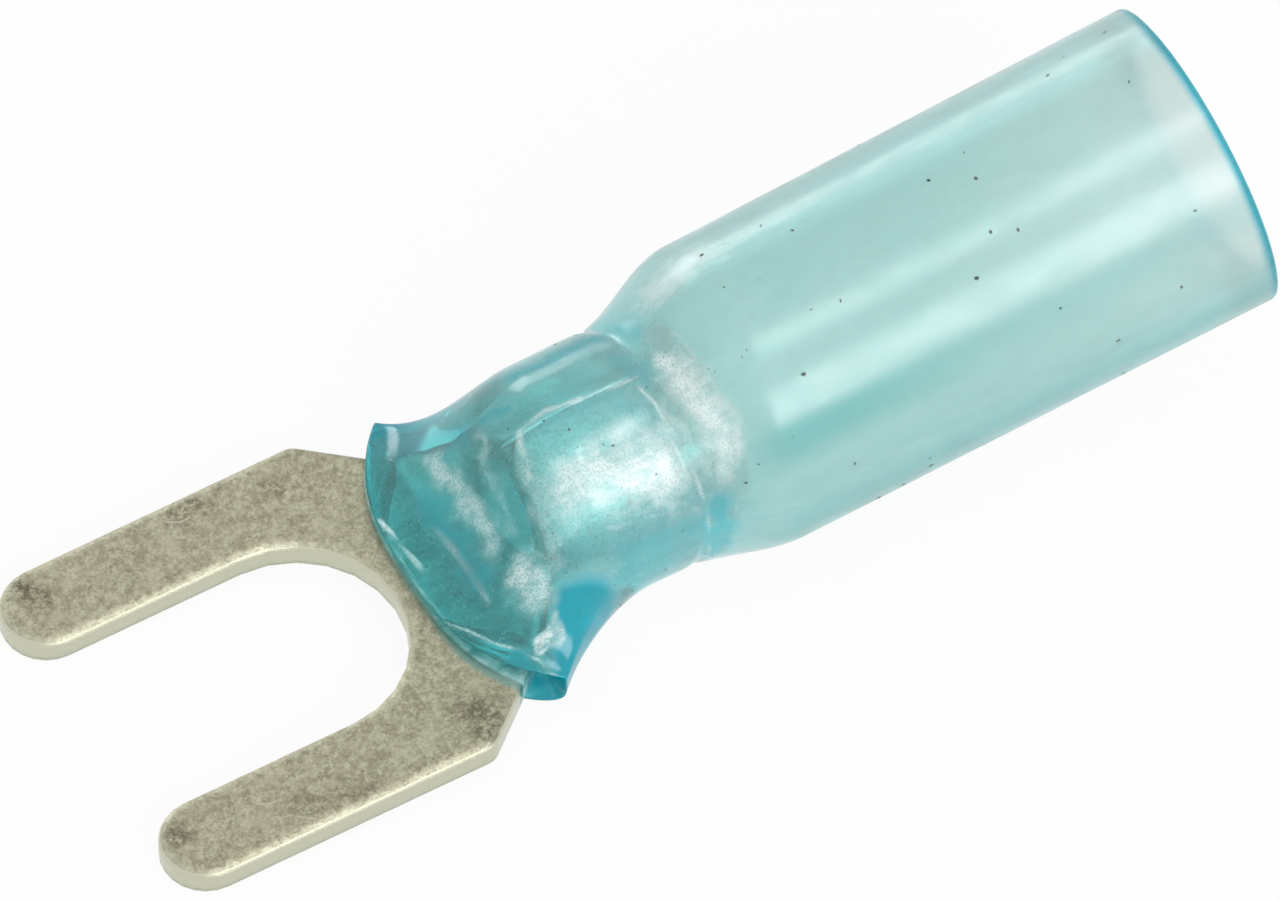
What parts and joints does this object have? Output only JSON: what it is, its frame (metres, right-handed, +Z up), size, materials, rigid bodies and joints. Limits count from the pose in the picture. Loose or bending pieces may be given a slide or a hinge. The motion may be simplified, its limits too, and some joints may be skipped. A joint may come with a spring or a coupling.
{
  "type": "fork wire terminal",
  "caption": "Heat-shrink fork terminal: a tinned sheet-copper fork that slides under a screw head, with a rolled barrel inside a see-through blue shrink sleeve for the wire.",
  "frame": {"origin": "centre of the bounding box in X and Y, on the plane the loose part lies on", "axes": "+X from the prong tips to the wire mouth, level; +Y across the fork; +Z up from the plane that the prong tips and the sleeve's belly rest on. The fork's sheet is turned 4.24 degrees about Y from that plane, tips down"},
  "size_m": [0.0302, 0.0098, 0.0092],
  "materials": {
    "tinned_copper": "matt electro-tinned copper sheet, warm grey, finely speckled, with rolled punch edges",
    "blue_sleeve": "clear pale blue polyolefin shrink tube, smooth and glossy, the metal shows through"
  },
  "bodies": {
    "root": {"fork_terminal": "tinned_copper", "shrink_sleeve": "blue_sleeve"}
  },
  "joints": []
}
